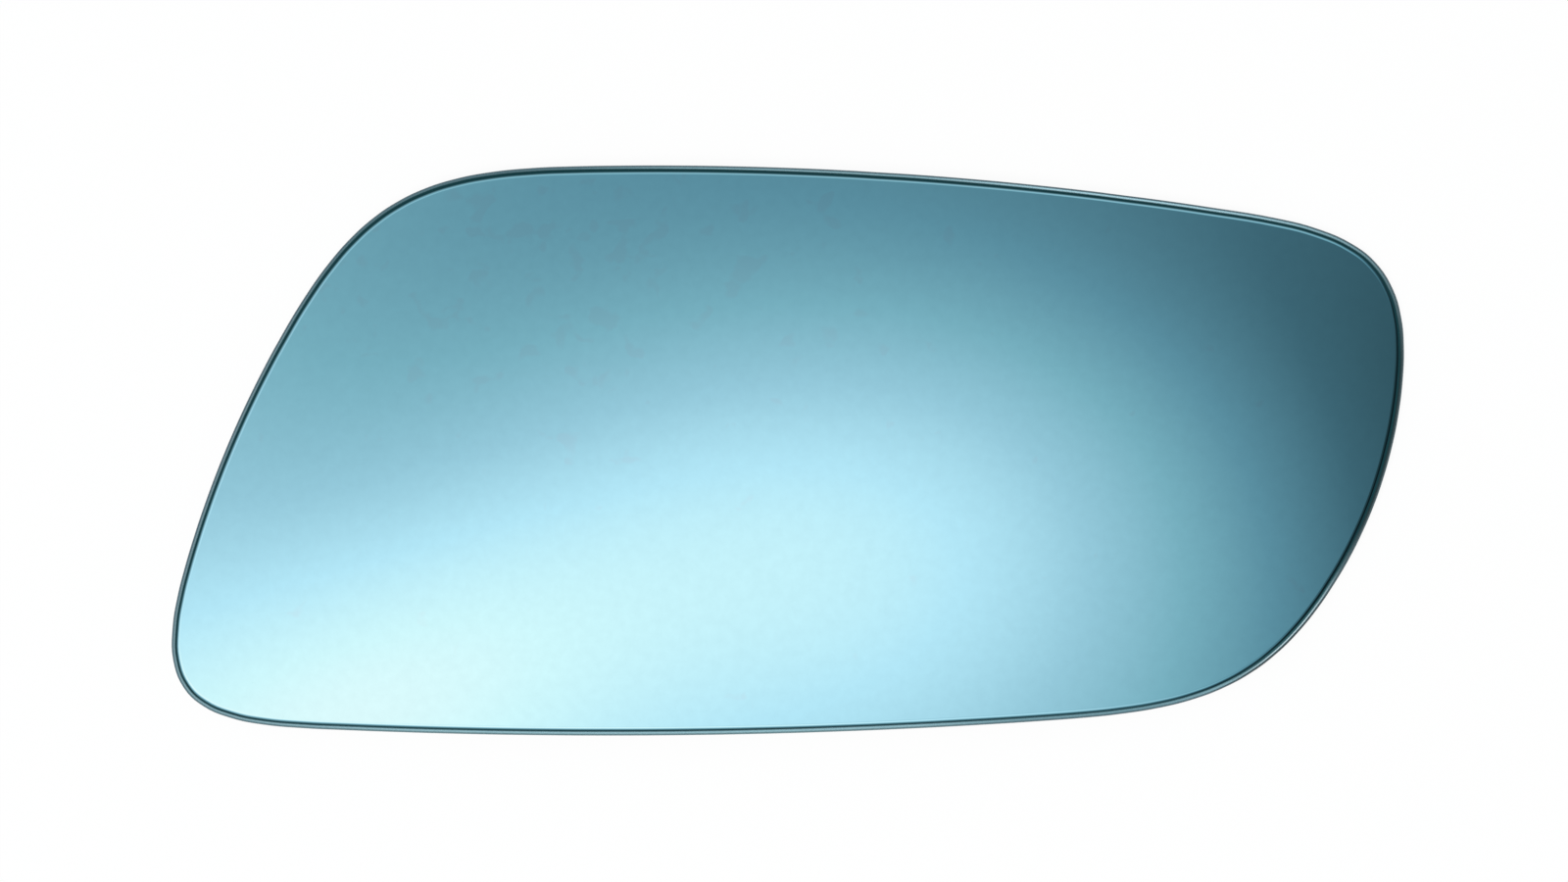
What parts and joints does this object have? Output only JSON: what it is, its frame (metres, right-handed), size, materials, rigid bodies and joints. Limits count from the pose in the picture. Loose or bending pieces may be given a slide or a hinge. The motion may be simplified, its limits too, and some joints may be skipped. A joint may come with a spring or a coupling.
{
  "type": "car door mirror glass",
  "caption": "Blue-tinted convex mirror glass for a car door mirror: a thin spherical sheet with a swept outline, rounded corners and a ground rim.",
  "frame": {"origin": "middle of the glass's box, at the level that its rim rests on", "axes": "+X along the wide way towards the more upright end, +Y up the face as it is fitted, +Z out of the convex mirror face"},
  "size_m": [0.19, 0.0878, 0.0056],
  "materials": {
    "mirror": "blue-coated convex mirror, rim ground satin, back lacquered dark grey"
  },
  "bodies": {
    "root": {"mirror_glass": "mirror"}
  },
  "joints": []
}
